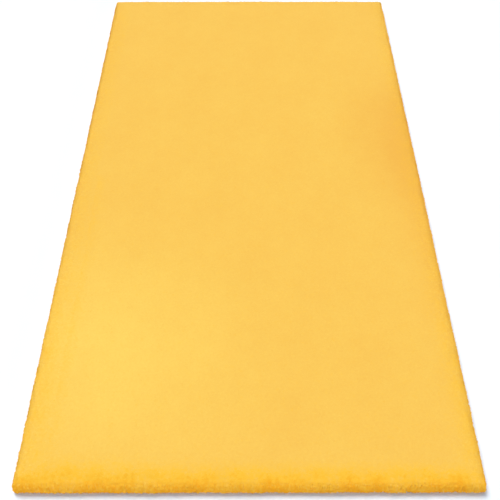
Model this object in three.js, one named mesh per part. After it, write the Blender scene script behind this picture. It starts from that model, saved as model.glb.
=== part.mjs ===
import * as THREE from 'three';

// A faux fur rug: one panel of plush pile cloth lying flat on the floor. Millimetres, +Z up. The origin is at the
// middle of the underside, the width runs along X and the length along Y.
// The solid is the rug's outer form. Its ground cloth lies flat on the floor, its pile stands past the edge of that
// cloth and rounds over onto a soft, slightly lumpy top, and loose locks of pile stick out all round the rim.

// Driving dimensions
const rugWidth = 800; // across X, over the tips of the locks
const rugLength = 1500; // along Y, over the tips of the locks
const pileTop = 28; // mean height of the pile's top over the floor
const cornerRadius = 20; // of the rounded corners, at the body of the pile
const lockReach = 4.2; // how far the longest locks stand past the body of the pile
const edgeWander = 1.2; // how far the cut edge strays to either side of its line
const topSwell = 1.1; // height of the pile's broad swells to either side of its mean
const topTuft = 1; // height of the smaller lumps on those swells
const pileJitter = 0.6; // how far each point of the pile strays by chance to either side of its place

// The top and the underside are filled with a grid of cells, the rim is divided more finely
const topCells = { across: 24, along: 48, inset: 42 };
const undersideCells = { across: 6, along: 12, inset: 90 };
const rimSteps = { across: 48, along: 96, corner: 3 };

// The rim's section, a row for each height from the floor to the flat of the pile: how far in from the edge of the
// pile's body it lies, its height, and how much it takes of the edge's wander, the top's lumps and the jitter.
const rimSection = [
  { name: 'ground edge', inset: 8, height: 0, wander: 0.4, lumps: 0, jitter: 0 },
  { name: 'lower pile', inset: 2.5, height: 3, wander: 0.8, lumps: 0, jitter: 0.6 },
  { name: 'fullest pile', inset: 0, height: 10, wander: 1, lumps: 0, jitter: 1 },
  { name: 'upper pile', inset: 2, height: 18, wander: 1, lumps: 0.3, jitter: 1 },
  { name: 'shoulder', inset: 8, height: 24.5, wander: 0.8, lumps: 0.7, jitter: 1 },
  { name: 'top edge', inset: 18, height: 27.4, wander: 0.4, lumps: 1, jitter: 1 },
];

// Locks grow from two bands of the rim: short ones stand out near the floor, and long ones hang over the rim's face
// from the shoulder. Each row gives the rim section's row under the lock, the height of the longest lock's tip, and
// how far a lock has bent over at its waist, in degrees.
const lockBands = [
  { above: 'lower pile', tipHeight: 2, bend: 15 },
  { above: 'upper pile', tipHeight: 5, bend: 55 },
];
const shortestLock = 0.6; // size of the shortest lock as a share of the longest's
const lockWaist = { out: 0.65, down: 0.4, width: 0.55 }; // shares of the way out, of the way down and of the root
const lockSway = 4; // how far a tip may stray along the rim to either side
const bareShare = 0.06; // share of the places for a lock that are left without one

// Waves of the pile's top: wavelength in millimetres, the way they run in degrees from X, and a shift in degrees
const swells = [
  { wavelength: 310, heading: 24, shift: 40 },
  { wavelength: 230, heading: 81, shift: 200 },
  { wavelength: 180, heading: 137, shift: 110 },
];
const tufts = [
  { wavelength: 97, heading: 12, shift: 75 },
  { wavelength: 83, heading: 68, shift: 310 },
  { wavelength: 104, heading: 118, shift: 150 },
  { wavelength: 91, heading: 163, shift: 20 },
];

// Waves of the cut edge: how many there are round the whole rim, and a shift in degrees
const edgeWaves = [
  { count: 17, shift: 15 },
  { count: 38, shift: 130 },
  { count: 79, shift: 250 },
];

// The body of the pile, without the locks, at the mean line of its edge
const bodyWidth = rugWidth - 2 * (lockReach + edgeWander);
const bodyLength = rugLength - 2 * (lockReach + edgeWander);
const radians = THREE.MathUtils.degToRad;

// A repeatable number from -1 to 1 for the item numbered i in the series numbered k
function chance(i, k) {
  const mixed = Math.sin(i * 127.1 + k * 311.7) * 43758.5453;
  return 2 * (mixed - Math.floor(mixed)) - 1;
}

// The mean of a table of plane waves at x, y, from -1 to 1
function waves(table, x, y) {
  let sum = 0;
  for (const wave of table) {
    const along = x * Math.cos(radians(wave.heading)) + y * Math.sin(radians(wave.heading));
    sum += Math.sin((2 * Math.PI * along) / wave.wavelength + radians(wave.shift));
  }
  return sum / table.length;
}

// The height that the pile's lumps add at x, y
function lumpHeight(x, y) {
  return topSwell * waves(swells, x, y) + topTuft * waves(tufts, x, y);
}

// How far the cut edge strays outwards at a share of the way round the rim
function wanderAt(share) {
  let sum = 0;
  for (const wave of edgeWaves) {
    sum += Math.sin(2 * Math.PI * wave.count * share + radians(wave.shift));
  }
  return (edgeWander * sum) / edgeWaves.length;
}

// The rug's four sides in turn, anticlockwise from the near one: where the straight part starts and ends, its number
// of rim steps, and the way out in degrees from X. A rounded corner follows each.
const halfX = bodyWidth / 2 - cornerRadius;
const halfY = bodyLength / 2 - cornerRadius;
const sides = [
  { from: [-halfX, -halfY], to: [halfX, -halfY], steps: rimSteps.across, outward: -90 },
  { from: [halfX, -halfY], to: [halfX, halfY], steps: rimSteps.along, outward: 0 },
  { from: [halfX, halfY], to: [-halfX, halfY], steps: rimSteps.across, outward: 90 },
  { from: [-halfX, halfY], to: [-halfX, -halfY], steps: rimSteps.along, outward: 180 },
];

// The stations round the rim. Each has the point that its section is measured from, the way out in radians, there and
// halfway to the next station, and its distance round the rim as a share of the whole.
function rimStations() {
  const cornerLength = (Math.PI / 2) * cornerRadius;
  const stations = [];
  let distance = 0;
  for (const side of sides) {
    const sideLength = Math.hypot(side.to[0] - side.from[0], side.to[1] - side.from[1]);
    for (let step = 0; step < side.steps; step += 1) {
      const share = step / side.steps;
      stations.push({
        x: THREE.MathUtils.lerp(side.from[0], side.to[0], share),
        y: THREE.MathUtils.lerp(side.from[1], side.to[1], share),
        outward: radians(side.outward),
        lockOutward: radians(side.outward),
        distance: distance + share * sideLength,
      });
    }
    distance += sideLength;
    for (let step = 0; step < rimSteps.corner; step += 1) {
      const share = step / rimSteps.corner;
      stations.push({
        x: side.to[0],
        y: side.to[1],
        outward: radians(side.outward + 90 * share),
        lockOutward: radians(side.outward + 90 * (share + 0.5 / rimSteps.corner)),
        distance: distance + share * cornerLength,
      });
    }
    distance += cornerLength;
  }
  for (const station of stations) {
    station.share = station.distance / distance;
  }
  return stations;
}

// A growing list of points and triangles
class Shell {
  constructor() {
    this.points = [];
    this.triangles = [];
  }

  addPoint(x, y, z) {
    this.points.push(new THREE.Vector3(x, y, z));
    return this.points.length - 1;
  }

  addTriangle(a, b, c) {
    this.triangles.push(a, b, c);
  }

  // A four-sided face, cut along its first diagonal or its second
  addQuad(a, b, c, d, second = false) {
    if (second) {
      this.addTriangle(a, b, d);
      this.addTriangle(b, c, d);
    } else {
      this.addTriangle(a, b, c);
      this.addTriangle(a, c, d);
    }
  }

  toGeometry() {
    const geometry = new THREE.BufferGeometry().setFromPoints(this.points);
    geometry.setIndex(this.triangles);
    return geometry;
  }
}

// One closed ring of points for each row of the rim section, from the ground edge to the top edge
function addRimRings(shell, stations) {
  return rimSection.map((row, rowNumber) =>
    stations.map((station, i) => {
      const stray = row.wander * wanderAt(station.share) + row.jitter * pileJitter * chance(i, rowNumber);
      const out = cornerRadius - row.inset + stray;
      const x = station.x + out * Math.cos(station.outward);
      const y = station.y + out * Math.sin(station.outward);
      const lift = row.lumps * lumpHeight(x, y) + row.jitter * pileJitter * chance(i, rowNumber + 20);
      return shell.addPoint(x, y, row.height + lift);
    }),
  );
}

// A lock on one face of the rim. The face is its root. It narrows from there to a waist and on to a tip, which lies
// lower and strays a little along the rim. outward is its way out in radians.
function addLock(shell, root, outward, band, number) {
  const out = new THREE.Vector3(Math.cos(outward), Math.sin(outward), 0);
  const aside = new THREE.Vector3(-out.y, out.x, 0);
  const middle = new THREE.Vector3();
  for (const corner of root) {
    middle.addScaledVector(shell.points[corner], 1 / root.length);
  }
  const rootInset = rimSection.find((row) => row.name === band.above).inset;
  const size = THREE.MathUtils.mapLinear(chance(number, 40), -1, 1, shortestLock, 1);
  const wayOut = rootInset + lockReach * size;
  const wayDown = (middle.z - band.tipHeight) * size;
  const sway = lockSway * chance(number, 41);
  const pointAt = (outShare, downShare) =>
    middle
      .clone()
      .addScaledVector(out, wayOut * outShare)
      .addScaledVector(aside, sway * outShare)
      .add(new THREE.Vector3(0, 0, -wayDown * downShare));
  const waistMiddle = pointAt(lockWaist.out, lockWaist.down);
  const bend = radians(band.bend);
  const thickness = new THREE.Vector3(0, 0, Math.cos(bend)).addScaledVector(out, Math.sin(bend));
  const waist = root.map((corner) => {
    const arm = shell.points[corner].clone().sub(middle).multiplyScalar(lockWaist.width);
    const point = waistMiddle.clone().addScaledVector(aside, arm.dot(aside)).addScaledVector(thickness, arm.z);
    return shell.addPoint(point.x, point.y, point.z);
  });
  const tip = pointAt(1, 1);
  const tipPoint = shell.addPoint(tip.x, tip.y, tip.z);
  root.forEach((corner, k) => {
    const next = (k + 1) % root.length;
    shell.addQuad(corner, root[next], waist[next], waist[k]);
    shell.addTriangle(waist[k], waist[next], tipPoint);
  });
}

// The rim's faces between the rings, with the locks
function addRim(shell, stations, rings) {
  const bandRows = lockBands.map((band) => rimSection.findIndex((row) => row.name === band.above));
  for (let i = 0; i < stations.length; i += 1) {
    const next = (i + 1) % stations.length;
    const band = chance(i, 43) < 0 ? 0 : 1;
    const bare = chance(i, 42) < 2 * bareShare - 1;
    for (let row = 0; row < rings.length - 1; row += 1) {
      const face = [rings[row][i], rings[row][next], rings[row + 1][next], rings[row + 1][i]];
      if (row === bandRows[band] && !bare) {
        addLock(shell, face, stations[i].lockOutward, lockBands[band], i);
      } else {
        shell.addQuad(...face, (i + row) % 2 === 1);
      }
    }
  }
}

// Fills the inside of a ring with a grid of cells and a band of triangles between the two. heightAt gives a grid
// point's height, and flipped turns the faces down.
function addPanel(shell, ring, cells, heightAt, flipped) {
  const limitX = bodyWidth / 2 - cells.inset;
  const limitY = bodyLength / 2 - cells.inset;
  const face = (a, b, c) => (flipped ? shell.addTriangle(a, c, b) : shell.addTriangle(a, b, c));
  const grid = [];
  for (let row = 0; row <= cells.along; row += 1) {
    const y = THREE.MathUtils.mapLinear(row, 0, cells.along, -limitY, limitY);
    const line = [];
    for (let column = 0; column <= cells.across; column += 1) {
      const x = THREE.MathUtils.mapLinear(column, 0, cells.across, -limitX, limitX);
      line.push(shell.addPoint(x, y, heightAt(x, y, row * (cells.across + 1) + column)));
    }
    grid.push(line);
  }
  for (let row = 0; row < cells.along; row += 1) {
    for (let column = 0; column < cells.across; column += 1) {
      const a = grid[row][column];
      const b = grid[row][column + 1];
      const c = grid[row + 1][column + 1];
      const d = grid[row + 1][column];
      const second = (row + column) % 2 === 1;
      face(a, b, second ? d : c);
      face(second ? b : a, c, d);
    }
  }
  // The grid's outermost points on each side, in the same order as the ring
  const edges = [
    grid[0],
    grid.map((line) => line[cells.across]),
    [...grid[cells.along]].reverse(),
    grid.map((line) => line[0]).reverse(),
  ];
  let station = 0;
  const nextStation = () => (station + 1) % ring.length;
  edges.forEach((edge, sideNumber) => {
    const stepsPerCell = sides[sideNumber].steps / (edge.length - 1);
    for (let cell = 0; cell < edge.length - 1; cell += 1) {
      for (let step = 0; step < stepsPerCell; step += 1) {
        const beforeMiddle = step < stepsPerCell / 2;
        face(ring[station], ring[nextStation()], beforeMiddle ? edge[cell] : edge[cell + 1]);
        station = nextStation();
        if (step + 1 === stepsPerCell / 2) {
          face(ring[station], edge[cell + 1], edge[cell]);
        }
      }
    }
    for (let step = 0; step < rimSteps.corner; step += 1) {
      face(ring[station], ring[nextStation()], edge[edge.length - 1]);
      station = nextStation();
    }
  });
}

// The fur panel, the rug's only piece
function furPanel() {
  const shell = new Shell();
  const stations = rimStations();
  const rings = addRimRings(shell, stations);
  addRim(shell, stations, rings);
  const topHeight = (x, y, number) => pileTop + lumpHeight(x, y) + pileJitter * chance(number, 30);
  addPanel(shell, rings[rings.length - 1], topCells, topHeight, false);
  addPanel(shell, rings[0], undersideCells, () => 0, true);
  return shell.toGeometry();
}

const yellowPile = new THREE.MeshStandardMaterial({ color: 0xfccb5d, roughness: 0.9, metalness: 0 });
const rug = new THREE.Group();
const furRug = new THREE.Mesh(furPanel(), yellowPile);
furRug.name = 'fur_rug';
rug.add(furRug);

export default rug;
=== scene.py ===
import math

import bpy
import numpy as np
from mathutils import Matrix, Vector


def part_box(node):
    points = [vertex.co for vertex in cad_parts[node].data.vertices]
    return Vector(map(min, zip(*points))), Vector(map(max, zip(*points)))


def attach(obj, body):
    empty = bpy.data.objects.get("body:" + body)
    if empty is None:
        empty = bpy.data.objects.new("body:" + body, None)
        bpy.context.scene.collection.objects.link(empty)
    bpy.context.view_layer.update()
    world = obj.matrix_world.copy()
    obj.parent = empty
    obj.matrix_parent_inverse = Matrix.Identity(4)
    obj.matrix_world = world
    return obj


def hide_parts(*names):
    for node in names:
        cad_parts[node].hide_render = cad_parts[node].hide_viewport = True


# A faux fur rug of plush yellow pile, lying flat. Metres, in the frame's own axes: the width along X, the
# length along Y, +Z up, and the origin at the middle of the underside.

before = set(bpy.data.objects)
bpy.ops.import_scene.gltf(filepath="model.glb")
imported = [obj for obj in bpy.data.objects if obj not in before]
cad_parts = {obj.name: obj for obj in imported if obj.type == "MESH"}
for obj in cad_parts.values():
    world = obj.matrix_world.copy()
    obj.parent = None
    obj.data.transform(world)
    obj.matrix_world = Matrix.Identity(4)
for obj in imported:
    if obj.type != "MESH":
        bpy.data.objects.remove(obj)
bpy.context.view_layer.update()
rug_low, rug_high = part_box("fur_rug")

MM = 0.001

# The outer skin of the pile, where the tips of its locks end. Its outline comes from the frame.
HALF_WIDTH = (rug_high.x - rug_low.x) / 2
HALF_LENGTH = (rug_high.y - rug_low.y) / 2
PILE_TOP = 28 * MM
FULLEST_HEIGHT = 5 * MM  # where the rug reaches furthest out
SHOULDER = 10 * MM  # how far in from the outline the top rounds off
TUCK = 3.5 * MM  # how far the edge draws in under its fullest line
LOWEST_TIP = 0.8 * MM
CORNER_REACH = 16 * MM  # along each side from a corner
CORNER_POWER = 5  # 2 would make the corners round, and more makes them squarer

# The dense pile that the locks grow out of, under that skin
PILE_DEPTH = 1.0 * MM  # on the field
PILE_INSET = 2.2 * MM  # at the fullest line
PILE_CELL = 15 * MM
PILE_EDGE_STEPS = 8

# The knitted ground cloth under the pile
CLOTH_THICKNESS = 1.5 * MM
CLOTH_CORNER = 6 * MM
CLOTH_EDGE = 1 * MM  # how far in its edge rounds off
CLOTH_CELL = 40 * MM
CLOTH_EDGE_STEPS = 5
CLOTH_OVERLAP = 0.3 * MM  # how far the dense pile reaches down into it

# The locks of the field, flat leaves of pile that lie over each other along the nap
FIELD_SPACING = 2.75 * MM
FIELD_LENGTH = 14 * MM
FIELD_WIDTH = 4.2 * MM
FIELD_TIP_DEPTH = 0.3 * MM
FIELD_ROOT_DEPTH = 1.4 * MM
NAP_HEADING = math.radians(98)  # the way the nap runs, from X
FIELD_RELIEF = 0.1  # how much of a lock's own slope shows in how it takes the light
FIELD_STRAY = 0.09 * MM  # the most that the tips are off the pile's skin, by chance
FIELD_TWIST = 0.035  # the most that a lock turns about its own length, in radians
FIELD_INSET = 5.5 * MM  # how far in from the outline the field's locks end, half way down the shoulder
FIELD_PARTS = 4

# The locks of the rim, which run outwards over the shoulder and hang
RIM_SPACING = 2.8 * MM
RIM_LENGTH = 12 * MM
RIM_WIDTH = 3.2 * MM
RIM_THICKNESS = 2.2 * MM
RIM_ROOT_DEPTH = 4 * MM
RIM_REACH = 50 * MM  # from the outline in to where the nap's own heading takes over
RIM_RELIEF = 0.45
RIM_STRAY = 0.9 * MM
RIM_TWIST = 0.45
RIM_CLUMP = 1.2 * MM  # how far whole clumps of tips stand out or back

# All locks
LOCK_LIFT = 1.8  # how much they take the light as if they stood up
LOWEST_POINT = 0.4 * MM  # nothing of a lock is nearer the floor
RIM_SHADE_REACH = 65 * MM  # from the outline in to where the rim's painted shade ends and the field's own colour takes over

# Wide patches of painted light and shade on the field's colour, a row for each: the middle's x and y and the
# reach along x and y, in metres, and then how much paler it is painted, paler at the near left, deeper on
# the right
MEAN_TINT = 0.46
LIGHT_AND_SHADE_PATCHES = [(-0.30, -0.48, 0.42, 0.38, 0.42), (0.42, 0.14, 0.24, 0.38, -0.45)]
SHADE_STRIP_REACH = 90 * MM  # a strip of painted shade along the right side, deeper round the rug's middle
SHADE_STRIP_DEPTH = 0.26

# How much painted shade, deeper and more orange, the rim gets from each cause
NEAR_SHADE = 0.56  # painted shade where the nap runs inwards, as at the near end
SIDE_SHADE = 0.2  # the same on the long sides, towards that end
FACE_SHADE = 0.16  # painted shade where the edge stands upright
FOOT_SHADE = 0.25  # painted shade low down, where it meets the floor

# Chance
rng = np.random.default_rng(7)


def waves(x, y, table):
    """The mean of a table of plane waves, from -1 to 1. Its columns are wavelength in mm, heading and
    shift in degrees."""
    total = 0
    for wavelength, heading, shift in table:
        heading, shift = math.radians(heading), math.radians(shift)
        along = x * math.cos(heading) + y * math.sin(heading)
        total = total + np.sin(2 * math.pi * along / (wavelength * MM) + shift)
    return total / len(table)


BROAD = [(910, 31, 20), (620, 98, 140), (430, 152, 260), (350, 63, 80)]
MIDDLE = [(187, 12, 40), (151, 77, 200), (169, 131, 310), (133, 168, 95)]
SMALL = [(61, 25, 10), (47, 84, 150), (55, 116, 245), (42, 163, 330), (36, 52, 70)]
CLUMPS = [(13, 14, 20), (9.5, 62, 130), (11, 101, 250), (8.5, 144, 60), (15, 171, 310)]


def smooth(low, high, value):
    """0 at low, 1 at high, and a soft step between."""
    t = np.clip((value - low) / (high - low), 0, 1)
    return t * t * (3 - 2 * t)


def unit(vectors):
    return vectors / np.maximum(np.linalg.norm(vectors, axis=-1, keepdims=True), 1e-12)


def column(values):
    return np.asarray(values)[:, None]


def chance(count):
    """A column of numbers from -1 to 1."""
    return rng.uniform(-1, 1, (count, 1))


def swell(x, y):
    """How far the pile's soft swells stand above its mean height."""
    return MM * (0.8 * waves(x, y, MIDDLE) + 0.35 * waves(x, y, SMALL))


UP = np.array([0.0, 0.0, 1.0])

# Meshes


def new_mesh(name, points, faces):
    """A mesh object from an array of points and an array of faces with the same number of corners each."""
    mesh = bpy.data.meshes.new(name)
    corners = faces.shape[1]
    mesh.vertices.add(len(points))
    mesh.vertices.foreach_set("co", points.astype(np.float32).ravel())
    mesh.loops.add(faces.size)
    mesh.loops.foreach_set("vertex_index", faces.astype(np.int32).ravel())
    mesh.polygons.add(len(faces))
    mesh.polygons.foreach_set("loop_start", np.arange(len(faces), dtype=np.int32) * corners)
    mesh.update(calc_edges=True)
    mesh.polygons.foreach_set("use_smooth", np.ones(len(faces), bool))
    piece = bpy.data.objects.new(name, mesh)
    bpy.context.scene.collection.objects.link(piece)
    return piece


def set_attribute(piece, name, values):
    layer = piece.data.attributes.new(name, "FLOAT", "POINT")
    layer.data.foreach_set("value", values.astype(np.float32).ravel())


def set_map(piece, places):
    """The map that a bake of this piece uses, from an array of a place for each face corner."""
    layer = piece.data.uv_layers.new(name="OFBake")
    layer.uv.foreach_set("vector", places.astype(np.float32).ravel())


# Slabs: the dense pile and the ground cloth


def section(turn, level, width, middle, end):
    """A rounded edge's section, from the slab's inner rectangle, turn 0, to its fullest line, turn 1. It is
    level at the height end at first, then rounds off over width to the height middle. Returns how far out it
    is, and how high."""
    # The round takes more of the turn than its width alone would, because it also runs down
    share = level / (level + 1.4 * width)
    angle = np.clip((turn - share) / (1 - share), 0, 1) * math.pi / 2
    out = level * np.clip(turn / share, 0, 1) + width * np.sin(angle)
    return out, middle + (end - middle) * np.cos(angle)


def slab_lines(half, corner, cell, steps):
    """Places across a slab, and how far round its edge each is, from -1 at one side to 1 at the other and 0
    on top."""
    inner = half - corner
    count = round(2 * inner / cell)
    turns = np.arange(1, steps + 1) / steps
    flat = np.linspace(-inner, inner, count + 1)
    place = np.concatenate([np.full(steps, -inner), flat, np.full(steps, inner)])
    turned = np.concatenate([-turns[::-1], np.zeros(count + 1), turns])
    return place, turned


def quads(number):
    """The faces between neighbours in a grid of point numbers."""
    around = [number[:-1, :-1], number[:-1, 1:], number[1:, 1:], number[1:, :-1]]
    return np.stack(around, -1).reshape(-1, 4)


def make_slab(name, inset, corner, shoulder, tuck, heights, cell, steps, relief):
    """A closed slab with soft square corners: its upper side first, then its underside. heights are those of
    its underside, its fullest line and its upper side."""
    low, middle, high = heights
    place_x, turned_x = slab_lines(HALF_WIDTH - inset, corner, cell, steps)
    place_y, turned_y = slab_lines(HALF_LENGTH - inset, corner, cell, steps)
    flat_x, flat_y = np.meshgrid(place_x, place_y)
    way = np.stack(np.meshgrid(turned_x, turned_y), -1)
    turn = np.abs(way).max(-1)
    far = (np.abs(way) ** CORNER_POWER).sum(-1, keepdims=True)
    way = way / np.maximum(far, 1e-12) ** (1 / CORNER_POWER)

    def side(width, end):
        out, height = section(turn, corner - width, width, middle, end)
        return np.stack([flat_x + out * way[..., 0], flat_y + out * way[..., 1], height], -1)

    top, under = side(shoulder, high), side(tuck, low)
    top[..., 2] += relief * swell(top[..., 0], top[..., 1]) * (1 - turn**3)
    rim = turn > 0.999
    number = np.arange(turn.size).reshape(turn.shape)
    under_number = number.copy()
    under_number[~rim] = turn.size + np.arange((~rim).sum())
    points = np.concatenate([top.reshape(-1, 3), under[~rim]])
    faces = np.concatenate([quads(number), quads(under_number)[:, ::-1]])
    piece = new_mesh(name, points, faces)
    # The upper side takes the left half of the map and the underside the right half
    is_under = column(np.arange(len(faces)) >= len(faces) // 2)
    corners = points[faces]
    u = (corners[..., 0] / (2 * HALF_WIDTH) + 0.5) * 0.49
    v = corners[..., 1] / (2 * HALF_LENGTH) + 0.5
    set_map(piece, np.stack([u + 0.5 * is_under, v], -1))
    return piece


def make_dense_pile():
    return make_slab(
        "dense_pile",
        inset=PILE_INSET,
        corner=CORNER_REACH - PILE_INSET,
        shoulder=SHOULDER - PILE_INSET,
        tuck=TUCK - PILE_INSET,
        heights=(CLOTH_THICKNESS - CLOTH_OVERLAP, FULLEST_HEIGHT, PILE_TOP - PILE_DEPTH),
        cell=PILE_CELL,
        steps=PILE_EDGE_STEPS,
        relief=1,
    )


def make_ground_cloth():
    return make_slab(
        "ground_cloth",
        inset=TUCK + CLOTH_EDGE,
        corner=CLOTH_CORNER,
        shoulder=CLOTH_EDGE,
        tuck=CLOTH_EDGE,
        heights=(0, CLOTH_THICKNESS / 2, CLOTH_THICKNESS),
        cell=CLOTH_CELL,
        steps=CLOTH_EDGE_STEPS,
        relief=0,
    )


# The outer skin


def outline(x, y, reach):
    """How far in from the rug's outline x, y is, and the level way out of the rug there. Within reach of a
    corner that way turns from one side's to the other's."""
    past = np.stack([np.abs(x) - HALF_WIDTH, np.abs(y) - HALF_LENGTH], -1) + reach
    near = np.maximum(past, 1e-6)
    most = near.max(-1)
    share = near / most[..., None]
    far = most * (share**CORNER_POWER).sum(-1) ** (1 / CORNER_POWER)
    inset = reach - np.where(past.max(-1) > 0, far, past.max(-1))
    level = share ** (CORNER_POWER - 1) * np.where(np.stack([x, y], -1) < 0, -1, 1)
    return inset, unit(np.concatenate([level, column(0 * x)], 1))


def skin(point):
    """How far outside the pile's skin each point is, and the skin's normal there."""
    x, y, z = point.T
    inset, out = outline(x, y, CORNER_REACH)
    step = 1 * MM
    slope_x = (swell(x + step, y) - swell(x - step, y)) / (2 * step)
    slope_y = (swell(x, y + step) - swell(x, y - step)) / (2 * step)
    above = z > FULLEST_HEIGHT
    width = np.where(above, SHOULDER, TUCK)
    drop = np.where(above, PILE_TOP + swell(x, y) - FULLEST_HEIGHT, FULLEST_HEIGHT - LOWEST_TIP)
    level = np.maximum(1 - inset / width, 0)
    upward = (z - FULLEST_HEIGHT) / drop
    far = np.maximum(np.hypot(level, upward), 1e-3)
    slope = np.stack([slope_x, slope_y, 0 * x], -1) * column(np.where(above, upward, 0))
    rise = out * column(level / width) + (UP - slope) * column(upward / drop)
    gap = (far - 1) * far / np.maximum(np.linalg.norm(rise, axis=-1), 1e-3)
    return gap, unit(rise)


def settle(point, depth):
    """Moves points along the skin's normal until they lie at a depth under it."""
    for _ in range(2):
        gap, normal = skin(point)
        point = point - column(gap) * normal - depth * normal
    return point


# Locks

LEAF_POINTS = 4  # the root, the two ends of the crest, and the tip
TUFT_POINTS = 7  # two sections of three, left, right and keel, and the tip

# A lock's tint is one of these many and its painted edge shade too, and each pair has its own cell of the
# map that a bake uses
TINTS = 32
EDGE_SHADES = 16


class Places:
    """Places on the pile's outer skin where the tips of locks end: the point, the skin's normal, the level
    way out and how far in from the outline it is."""

    def __init__(self, point):
        self.point = settle(point, 0)
        self.normal = skin(self.point)[1]
        self.inset = outline(self.point[:, 0], self.point[:, 1], CORNER_REACH)[0]
        self.out = outline(self.point[:, 0], self.point[:, 1], RIM_REACH)[1]

    def part(self, chosen):
        return Places(self.point[chosen])


def soften(piece, points, faces, skin_normal, relief):
    """Makes the faces of locks take the light nearly as the pile's skin does there, so that they read as
    soft pile and not as facets. relief is the share of each face's own slope that is left to it."""
    corners = points[faces]
    own = unit(np.cross(corners[:, 1] - corners[:, 0], corners[:, 2] - corners[:, 0]))
    facing = smooth(-0.3, 0.2, column((own * skin_normal).sum(-1)))
    normals = unit(facing * skin_normal + (1 - facing + relief) * own)
    piece.data.normals_split_custom_set(np.repeat(normals, 3, axis=0).tolist())


def lock_faces(each):
    """The faces of a leaf or a tuft, by how many points it has."""
    if each == LEAF_POINTS:
        return np.array([(0, 2, 1), (1, 2, 3), (0, 1, 3), (0, 3, 2)])
    faces = [(0, 2, 1)]
    for a, b in ((0, 1), (1, 2), (2, 0)):
        faces += [(a, b, b + 3), (a, b + 3, a + 3)]
    return np.array(faces + [(3, 4, 6), (4, 5, 6), (5, 3, 6)])


def make_locks(name, points, along, across, place, relief):
    """One mesh of closed locks. points are each lock's points from its root to its tip, and along and across
    say where they lie on it."""
    points = np.stack(points, 1)
    points[..., 2] = np.maximum(points[..., 2], LOWEST_POINT)
    count, each = points.shape[:2]
    faces = lock_faces(each)
    every = (faces[None] + each * np.arange(count)[:, None, None]).reshape(-1, 3)
    points = points.reshape(-1, 3)
    piece = new_mesh(name, points, every)
    skin_normal = np.repeat(unit(place.normal + LOCK_LIFT * UP), len(faces), axis=0)
    soften(piece, points, every, skin_normal, np.repeat(relief, len(faces), axis=0))
    shade_locks(piece, faces, np.array(along), np.array(across), place)
    return piece


def shade_locks(piece, faces, along, across, place):
    """Gives locks what their finish reads, and the map that a bake uses."""
    count, each = len(place.point), len(along)
    set_attribute(piece, "along", np.tile(along, count))
    set_attribute(piece, "across", np.tile(across, count))
    # tint holds the painted light and shade patches as well as the pile's own tone
    tint = np.minimum((tints_with_painted_light(place) * TINTS).astype(int), TINTS - 1)
    # edge is how much painted shade the rim gives each lock
    edge = np.minimum((painted_rim_shades(place) * EDGE_SHADES).astype(int), EDGE_SHADES - 1)
    set_attribute(piece, "tint", np.repeat((tint + 0.5) / TINTS, each))
    set_attribute(piece, "edge", np.repeat(edge / (EDGE_SHADES - 1), each))
    u = 0.5 + 0.42 * across
    v = 0.08 + 0.88 * along
    if each == TUFT_POINTS:
        # The keel of a root lies a little below its sides on the map, so that no face there has no width
        v[2] -= 0.05
    corner_u = (np.tile(u[faces.ravel()], count) + np.repeat(tint, faces.size)) / TINTS
    corner_v = (np.tile(v[faces.ravel()], count) + np.repeat(edge, faces.size)) / EDGE_SHADES
    set_map(piece, np.stack([corner_u, corner_v], -1))


def tints_with_painted_light(place):
    """A tint from 0 to 1 for each lock: wide patches of painted light and shade, paler at the near left and
    deeper on the right and in a strip along the right side, then soft small patches and a scatter of its
    own."""
    x, y = place.point[:, 0], place.point[:, 1]
    patch = MEAN_TINT
    # Painted light at the near left and painted shade on the right
    for middle_x, middle_y, reach_x, reach_y, paler in LIGHT_AND_SHADE_PATCHES:
        patch = patch + paler * smooth(1, 0, np.hypot((x - middle_x) / reach_x, (y - middle_y) / reach_y))
    # A strip of painted shade along the right side
    strip = smooth(SHADE_STRIP_REACH, 0, HALF_WIDTH - x) * smooth(0.4, 0, y) * smooth(-0.5, -0.2, y)
    patch = patch - SHADE_STRIP_DEPTH * strip + 0.05 * waves(x, y, MIDDLE) + 0.05 * waves(y, x, SMALL)
    scatter = 0.05 + 0.12 * smooth(0.7 * RIM_SHADE_REACH, 0, place.inset)
    return np.clip(patch + scatter * rng.normal(0, 1, x.shape), 0, 0.9999)


def painted_rim_shades(place):
    """How much painted shade each lock has at the rim, deeper and more orange, from 0 on the field to 1 low
    on the edge. The near end has the most of it, as painted shade among the sides of its locks that the
    inward nap bares there, and the long sides have more of it towards that end."""
    x, y, z = place.point.T
    against = (0.5 - 0.5 * place.out[:, 1] * math.sin(NAP_HEADING)) ** 2
    against = against + SIDE_SHADE * smooth(-0.1, -0.65, y) * (1 - place.out[:, 1] ** 2)
    # Patches and scatter that mottle the painted shade
    patch = 1 + 0.5 * waves(y, x, SMALL) + 0.5 * waves(x, y + z, CLUMPS)
    reach = RIM_SHADE_REACH * (1 + 0.35 * smooth(-0.1, -0.35, x))
    face = smooth(0.95 * PILE_TOP, 0.5 * PILE_TOP, z)
    shade = patch * (NEAR_SHADE * against * smooth(reach, 0, place.inset) + FACE_SHADE * face)
    shade = shade + FOOT_SHADE * smooth(0.35 * PILE_TOP, 0, z)
    return np.clip(shade + (0.05 + 0.13 * face) * rng.normal(0, 1, shade.shape), 0, 0.9999)


def lay(place):
    """The way each lock runs along the skin: the nap on the open field, and out and down at the rim. Also
    how far the rim has turned it."""
    x, y = place.point[:, 0], place.point[:, 1]
    turn = column(smooth(RIM_REACH, 0.5 * SHOULDER, place.inset))
    heading = NAP_HEADING + 0.3 * waves(x, y, BROAD) + 0.2 * waves(x, y, MIDDLE) + 0.12 * waves(x, y, SMALL)
    nap = np.stack([np.cos(heading), np.sin(heading), 0 * x], -1)
    way = (1 - turn) * nap + turn * place.out
    way = unit(way + rng.normal(0, 1, way.shape) * between(turn, 0.12, 0.2))
    outward = column((way * place.out).sum(-1))
    beside = np.cross(UP, place.out)
    sideways = column((way * beside).sum(-1))
    over = place.out * place.normal[:, 2:] - UP * column((place.normal * place.out).sum(-1))
    return unit(outward * over + sideways * beside), turn


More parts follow.
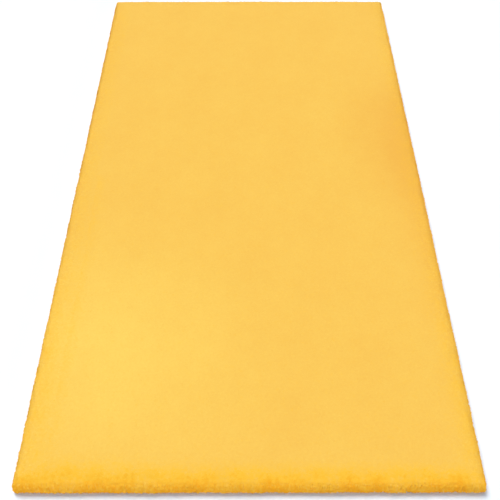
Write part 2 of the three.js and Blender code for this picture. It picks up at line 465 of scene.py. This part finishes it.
def tip_depths(place, turn):
    """How deep under the skin locks end. From the shoulder down, stray locks and whole clumps stand out."""
    x, y, z = place.point.T
    clump = column(0.8 * waves(x, y + z, CLUMPS) + 0.6 * waves(y, x, SMALL))
    rim = turn * column(smooth(0.8 * SHOULDER, 0.15 * SHOULDER, place.inset))
    return chance(len(turn)) * between(rim, FIELD_STRAY, RIM_STRAY) + clump * rim * RIM_CLUMP


def side_of(way, place, most):
    """A lock's right side and its upper side, turned about it by chance, by most in radians."""
    right = unit(np.cross(way, place.normal))
    upper = np.cross(right, way)
    twist = chance(len(way)) * most
    return right * np.cos(twist) - upper * np.sin(twist), upper * np.cos(twist) + right * np.sin(twist)


def between(share, first, second):
    return first + (second - first) * share


def spread(mean, low, high, count):
    """Sizes round a mean, as a column."""
    return column(mean * rng.uniform(low, high, count))


def make_leaves(name, place):
    """Field locks: flat leaves, widest at a low crest from which the tip dips into the pile."""
    way, turn = lay(place)
    right = side_of(way, place, between(turn, FIELD_TWIST, 3 * FIELD_TWIST))[0]
    count = len(way)
    length = spread(FIELD_LENGTH, 0.85, 1.15, count)
    wide = spread(FIELD_WIDTH / 2, 0.8, 1.2, count)
    end = between(turn, 1, 0.6) * tip_depths(place, turn)
    tip = settle(place.point, FIELD_TIP_DEPTH + end)
    middle = settle(tip - 0.4 * length * way, 0.6 * end)
    root = settle(tip - length * way, FIELD_ROOT_DEPTH * spread(1, 0.9, 1.2, count))
    points = [root, middle - wide * right, middle + wide * right, tip]
    along, across = [0, 0.6, 0.6, 1], [0, -1, 1, 0]
    return make_locks(name, points, along, across, place, between(turn, FIELD_RELIEF, RIM_RELIEF))


def make_tufts(name, place):
    """Rim locks: three-sided tufts that follow the curve of the edge."""
    way, turn = lay(place)
    right, upper = side_of(way, place, RIM_TWIST)
    count = len(way)
    length = spread(RIM_LENGTH, 0.8, 1.15, count)
    wide = spread(RIM_WIDTH / 2, 0.75, 1.2, count)
    deep = spread(RIM_THICKNESS, 0.8, 1.2, count)
    end = tip_depths(place, turn)
    tip = settle(place.point, end)
    middle = settle(tip - 0.45 * length * way, end + 0.5 * deep)
    root = settle(middle - 0.55 * length * way, RIM_ROOT_DEPTH)
    points = []
    for centre, share in ((root, 0.7), (middle, 1.0)):
        raised = centre + 0.35 * share * deep * upper
        side = share * wide * right
        points += [raised - side, raised + side, centre - 0.65 * share * deep * upper]
    points.append(tip)
    along, across = [0, 0, 0, 0.4, 0.4, 0.4, 0.9], [-1, 1, 0, -1, 1, 0, 0]
    return make_locks(name, points, along, across, place, between(turn, FIELD_RELIEF, RIM_RELIEF))


def field_places():
    """Staggered rows of places over the flat of the pile, each a little off its row by chance."""
    half_x, half_y = HALF_WIDTH - FIELD_INSET, HALF_LENGTH - FIELD_INSET
    row_spacing = FIELD_SPACING * math.sqrt(3) / 2
    x, y = np.meshgrid(np.arange(-half_x, half_x, FIELD_SPACING), np.arange(-half_y, half_y, row_spacing))
    x[1::2] += FIELD_SPACING / 2
    stray = 0.36 * FIELD_SPACING
    x = (x + rng.uniform(-stray, stray, x.shape)).ravel()
    y = (y + rng.uniform(-stray, stray, y.shape)).ravel()
    return Places(np.stack([x, y, PILE_TOP + 0 * x], -1))


def rim_places():
    """Rows of places round the rim, from the shoulder down to the tuck."""
    # Rows by their angle round the section: -90 degrees at the top, 0 at the fullest line, 90 at the ground
    rows = np.radians(np.concatenate([np.linspace(-88, -6, 10), np.linspace(8, 76, 4)]))
    corners = np.array([(-1, -1), (1, -1), (1, 1), (-1, 1), (-1, -1)])
    half = np.array([HALF_WIDTH, HALF_LENGTH])
    parts = []
    for row, row_angle in enumerate(rows):
        depth = (SHOULDER if row_angle < 0 else TUCK) * (1 - math.cos(row_angle))
        lengths = np.array([half[0], half[1], half[0], half[1]]) * 2 - 2 * depth
        ends = np.cumsum(lengths)
        count = round(ends[-1] / RIM_SPACING)
        s = np.arange(count) + 0.5 * (row % 2) + rng.uniform(-0.35, 0.35, count)
        s = s * ends[-1] / count % ends[-1]
        leg = np.searchsorted(ends, s, side="right")
        share = column((s - (ends[leg] - lengths[leg])) / lengths[leg])
        square = (corners[leg] * (1 - share) + corners[leg + 1] * share) * (half - depth)
        angle = row_angle + rng.uniform(-0.08, 0.08, count)
        drop = np.where(angle < 0, PILE_TOP - FULLEST_HEIGHT, FULLEST_HEIGHT - LOWEST_TIP)
        parts.append(np.concatenate([square, column(FULLEST_HEIGHT - drop * np.sin(angle))], 1))
    return Places(np.concatenate(parts))


def make_pile_locks():
    field, rim = field_places(), rim_places()
    pieces = []
    # The field is made in bands along the rug, so that no piece holds too much
    half = HALF_LENGTH - FIELD_INSET
    band = np.clip(((field.point[:, 1] + half) / (2 * half) * FIELD_PARTS).astype(int), 0, FIELD_PARTS - 1)
    for part in range(FIELD_PARTS):
        pieces.append(make_leaves(f"pile_field_{part + 1}", field.part(band == part)))
    near = rim.point[:, 1] < 0
    pieces.append(make_tufts("pile_rim_near", rim.part(near)))
    pieces.append(make_tufts("pile_rim_far", rim.part(~near)))
    return pieces


# Finishes


class Signal:
    """A socket's value in a material, so that sums on it read as sums. Each adds its own Math node."""

    def __init__(self, finish, socket):
        self.finish, self.socket = finish, socket

    def sum(self, operation, *others, clamp=False):
        settings = dict(operation=operation, use_clamp=clamp)
        return self.finish.node("ShaderNodeMath", settings, dict(enumerate([self, *others])))

    def __add__(self, other):
        return self.sum("ADD", other)

    def __sub__(self, other):
        return self.sum("SUBTRACT", other)

    def __mul__(self, other):
        return self.sum("MULTIPLY", other)

    def __rsub__(self, other):
        return (self * -1) + other

    __radd__ = __add__
    __rmul__ = __mul__

    def clamped(self):
        return self.sum("ADD", 0.0, clamp=True)

    def sine(self):
        return self.sum("SINE")


class Finish:
    """A material with one Principled shader. node() adds any other node."""

    def __init__(self, name, **sockets):
        self.material = bpy.data.materials.new(name)
        self.material.use_nodes = True
        self.tree = self.material.node_tree
        self.shader = self.tree.nodes["Principled BSDF"]
        for socket, value in sockets.items():
            self.shader.inputs[socket.replace("_", " ")].default_value = value

    def node(self, kind, settings=None, inputs=None, output=0):
        """Adds a node. Its settings are set first, then the values or links of its sockets."""
        made = self.tree.nodes.new(kind)
        for key, value in (settings or {}).items():
            setattr(made, key, value)
        for key, value in (inputs or {}).items():
            self.connect(made.inputs[key], value)
        return Signal(self, made.outputs[output])

    def connect(self, socket, value):
        if isinstance(value, Signal):
            value = value.socket
        if isinstance(value, bpy.types.NodeSocket):
            self.tree.links.new(value, socket)
        else:
            socket.default_value = value

    def drive(self, **sockets):
        for name, value in sockets.items():
            self.connect(self.shader.inputs[name.replace("_", " ")], value)
        return self.material

    def attribute(self, name):
        return self.node("ShaderNodeAttribute", dict(attribute_name=name), output="Fac")

    def blend(self, factor, first, second):
        """A colour between two others."""
        # The node's sockets by number, because those of its other data types have the same names
        inputs = {0: factor, 6: first, 7: second}
        return self.node("ShaderNodeMix", dict(data_type="RGBA"), inputs, output=2)

    def place(self):
        return self.node("ShaderNodeTexCoord", output="Object")

    def noise(self, scale, detail=3.0, roughness=0.5):
        inputs = dict(Vector=self.place(), Scale=scale, Detail=detail, Roughness=roughness)
        return self.node("ShaderNodeTexNoise", None, inputs)

    def bands(self, direction, scale, distortion):
        inputs = dict(Vector=self.place(), Scale=scale, Distortion=distortion)
        return self.node("ShaderNodeTexWave", dict(bands_direction=direction), inputs)

    def bump(self, height, distance, strength=1.0):
        inputs = dict(Height=height, Distance=distance, Strength=strength)
        return self.node("ShaderNodeBump", None, inputs)


def colour(red, green, blue):
    return (red, green, blue, 1.0)


# Painted shade from deep in the pile, more saturated towards the roots
ROOT_SHADE_YELLOW = colour(0.90, 0.47, 0.030)
# Painted shade in the gaps between the fibres of a lock
STRAND_GAP_SHADE = colour(0.78, 0.36, 0.030)
TIP_YELLOW = colour(0.866, 0.440, 0.064)
PALE_YELLOW = colour(0.958, 0.630, 0.114)
# Painted shade of the rim, and its deepest, low on the edge
RIM_SHADE_YELLOW = colour(0.940, 0.514, 0.036)
RIM_DEEPEST_SHADE_YELLOW = colour(0.900, 0.382, 0.008)


def pile_finish():
    """Soft matt pile: deeper yellow at the roots and low on the rim, both painted shade, paler at the tips,
    each lock a little different, with painted shade in the gaps between its fibres."""
    finish = Finish("yellow_pile", Sheen_Weight=0.05, Sheen_Roughness=0.5, Specular_IOR_Level=0.06)
    along, tint, across, edge = (finish.attribute(name) for name in ("along", "tint", "across", "edge"))
    # Tips from deep to pale by tint, which holds painted light and shade; painted shade towards the rim
    tip = finish.blend((edge * 2.0).clamped(), finish.blend(tint, TIP_YELLOW, PALE_YELLOW), RIM_SHADE_YELLOW)
    tip = finish.blend((edge * 2.0 - 1.0).clamped(), tip, RIM_DEEPEST_SHADE_YELLOW)
    # Painted shade towards the roots, as deep in the pile
    shade = finish.blend((along * 3.0 - 0.4).clamped(), ROOT_SHADE_YELLOW, tip)
    # Fine fibres, with painted shade in the gaps between them, also as bumps and roughness
    strands_and_gap_shade = (across * 11.0 + tint * 40.0).sine() * 0.5 + 0.5
    shade = finish.blend(strands_and_gap_shade * 0.22, shade, STRAND_GAP_SHADE)
    rough = strands_and_gap_shade * 0.12 + 0.7
    normal = finish.bump(strands_and_gap_shade, 0.15 * MM, 0.6)
    return finish.drive(Base_Color=shade, Roughness=rough, Normal=normal)


def dense_pile_finish():
    finish = Finish("dense_pile_yellow", Roughness=0.9, Specular_IOR_Level=0.06)
    speckle = finish.noise(420.0)
    shade = finish.blend(speckle, colour(0.88, 0.47, 0.045), colour(0.90, 0.51, 0.065))
    return finish.drive(Base_Color=shade, Normal=finish.bump(speckle, 1.0 * MM, 0.6))


def ground_cloth_finish():
    """The knitted underside: fine courses and wales in a duller yellow."""
    finish = Finish("ground_cloth_yellow", Roughness=0.85)
    rib = finish.bands("X", 160.0, 0.6)
    course = finish.bands("Y", 110.0, 0.8)
    knit = rib * 0.6 + course * 0.4
    shade = finish.blend(knit, colour(0.62, 0.36, 0.06), colour(0.80, 0.52, 0.12))
    return finish.drive(Base_Color=shade, Normal=finish.bump(knit, 0.4 * MM, 0.7))


# Floor, light and camera

FLOOR_HALF = 60.0
WALL_RADIUS = 50.0
WALL_SIDES = 96
WALL_BOTTOM, WALL_TOP = -1.0, 60.0


def make_floor():
    half = FLOOR_HALF
    corners = np.array([(-half, -half, 0), (half, -half, 0), (half, half, 0), (-half, half, 0)])
    floor = new_mesh("floor", corners, np.array([(0, 1, 2, 3)]))
    finish = Finish("studio_floor", Base_Color=colour(0.91, 0.93, 0.95), Roughness=0.9)
    floor.data.materials.append(finish.material)


def make_backdrop():
    """A pale round wall far behind everything, which gives no light and casts no shadow."""
    first = np.arange(WALL_SIDES)
    after = (first + 1) % WALL_SIDES
    angle = 2 * math.pi * first / WALL_SIDES
    ring = WALL_RADIUS * np.stack([np.cos(angle), np.sin(angle)], -1)
    points = np.concatenate([np.insert(ring, 2, height, axis=1) for height in (WALL_BOTTOM, WALL_TOP)])
    wall = new_mesh("backdrop", points, np.stack([after, first, first + WALL_SIDES, after + WALL_SIDES], -1))
    pale = dict(Emission_Color=colour(0.98, 0.99, 1.0), Emission_Strength=0.98)
    finish = Finish("studio_backdrop", Base_Color=colour(0, 0, 0), Roughness=1.0, **pale)
    wall.data.materials.append(finish.material)
    wall.visible_diffuse = wall.visible_glossy = wall.visible_shadow = False


def aim(thing, place, target):
    """Puts a lamp or the camera at place, looking at target."""
    thing.location = place
    way = Vector(target) - Vector(place)
    thing.rotation_euler = way.to_track_quat("-Z", "Y").to_euler()
    bpy.context.scene.collection.objects.link(thing)


def make_sun(name, strength, softness, heading, height):
    """A far soft lamp. softness is how wide it looks from here, heading where it stands, from X, and height
    how high, all in degrees."""
    lamp = bpy.data.lights.new(name, "SUN")
    lamp.energy, lamp.angle = strength, math.radians(softness)
    heading, height = math.radians(heading), math.radians(height)
    level = math.cos(height)
    place = Vector((level * math.cos(heading), level * math.sin(heading), math.sin(height))) * 4
    aim(bpy.data.objects.new(name, lamp), place, (0, 0, 0))


def make_studio():
    make_floor()
    make_backdrop()
    world = bpy.data.worlds.new("studio")
    world.use_nodes = True
    background = world.node_tree.nodes["Background"]
    background.inputs["Color"].default_value = colour(0.79, 0.96, 1.20)
    background.inputs["Strength"].default_value = 0.43
    bpy.context.scene.world = world
    make_sun("key", strength=2.65, softness=28, heading=125, height=60)
    make_sun("fill", strength=1.95, softness=8, heading=-72, height=4.5)
    bpy.context.scene.view_settings.view_transform = "Standard"


CAMERA_PLACE = (0.0002, -1.2255, 1.2006)
CAMERA_PITCH = math.radians(49.767)  # down from level
CAMERA_YAW = math.radians(0.101)  # to the right of Y
CAMERA_LENS = 51.99  # in mm, as the sensor's width is
SENSOR_WIDTH = 36


def make_camera():
    camera = bpy.data.cameras.new("camera")
    camera.lens, camera.sensor_width = CAMERA_LENS, SENSOR_WIDTH
    level = math.cos(CAMERA_PITCH)
    way = Vector((level * math.sin(CAMERA_YAW), level * math.cos(CAMERA_YAW), -math.sin(CAMERA_PITCH)))
    thing = bpy.data.objects.new("camera", camera)
    aim(thing, CAMERA_PLACE, Vector(CAMERA_PLACE) + way)
    bpy.context.scene.camera = thing


make_camera()
make_studio()

ground_cloth, dense_pile = make_ground_cloth(), make_dense_pile()
locks = make_pile_locks()
ground_cloth.data.materials.append(ground_cloth_finish())
dense_pile.data.materials.append(dense_pile_finish())
pile = pile_finish()
for piece in locks:
    piece.data.materials.append(pile)
pieces = [ground_cloth, dense_pile] + locks
for piece in pieces:
    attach(piece, "root")
    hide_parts("fur_rug")
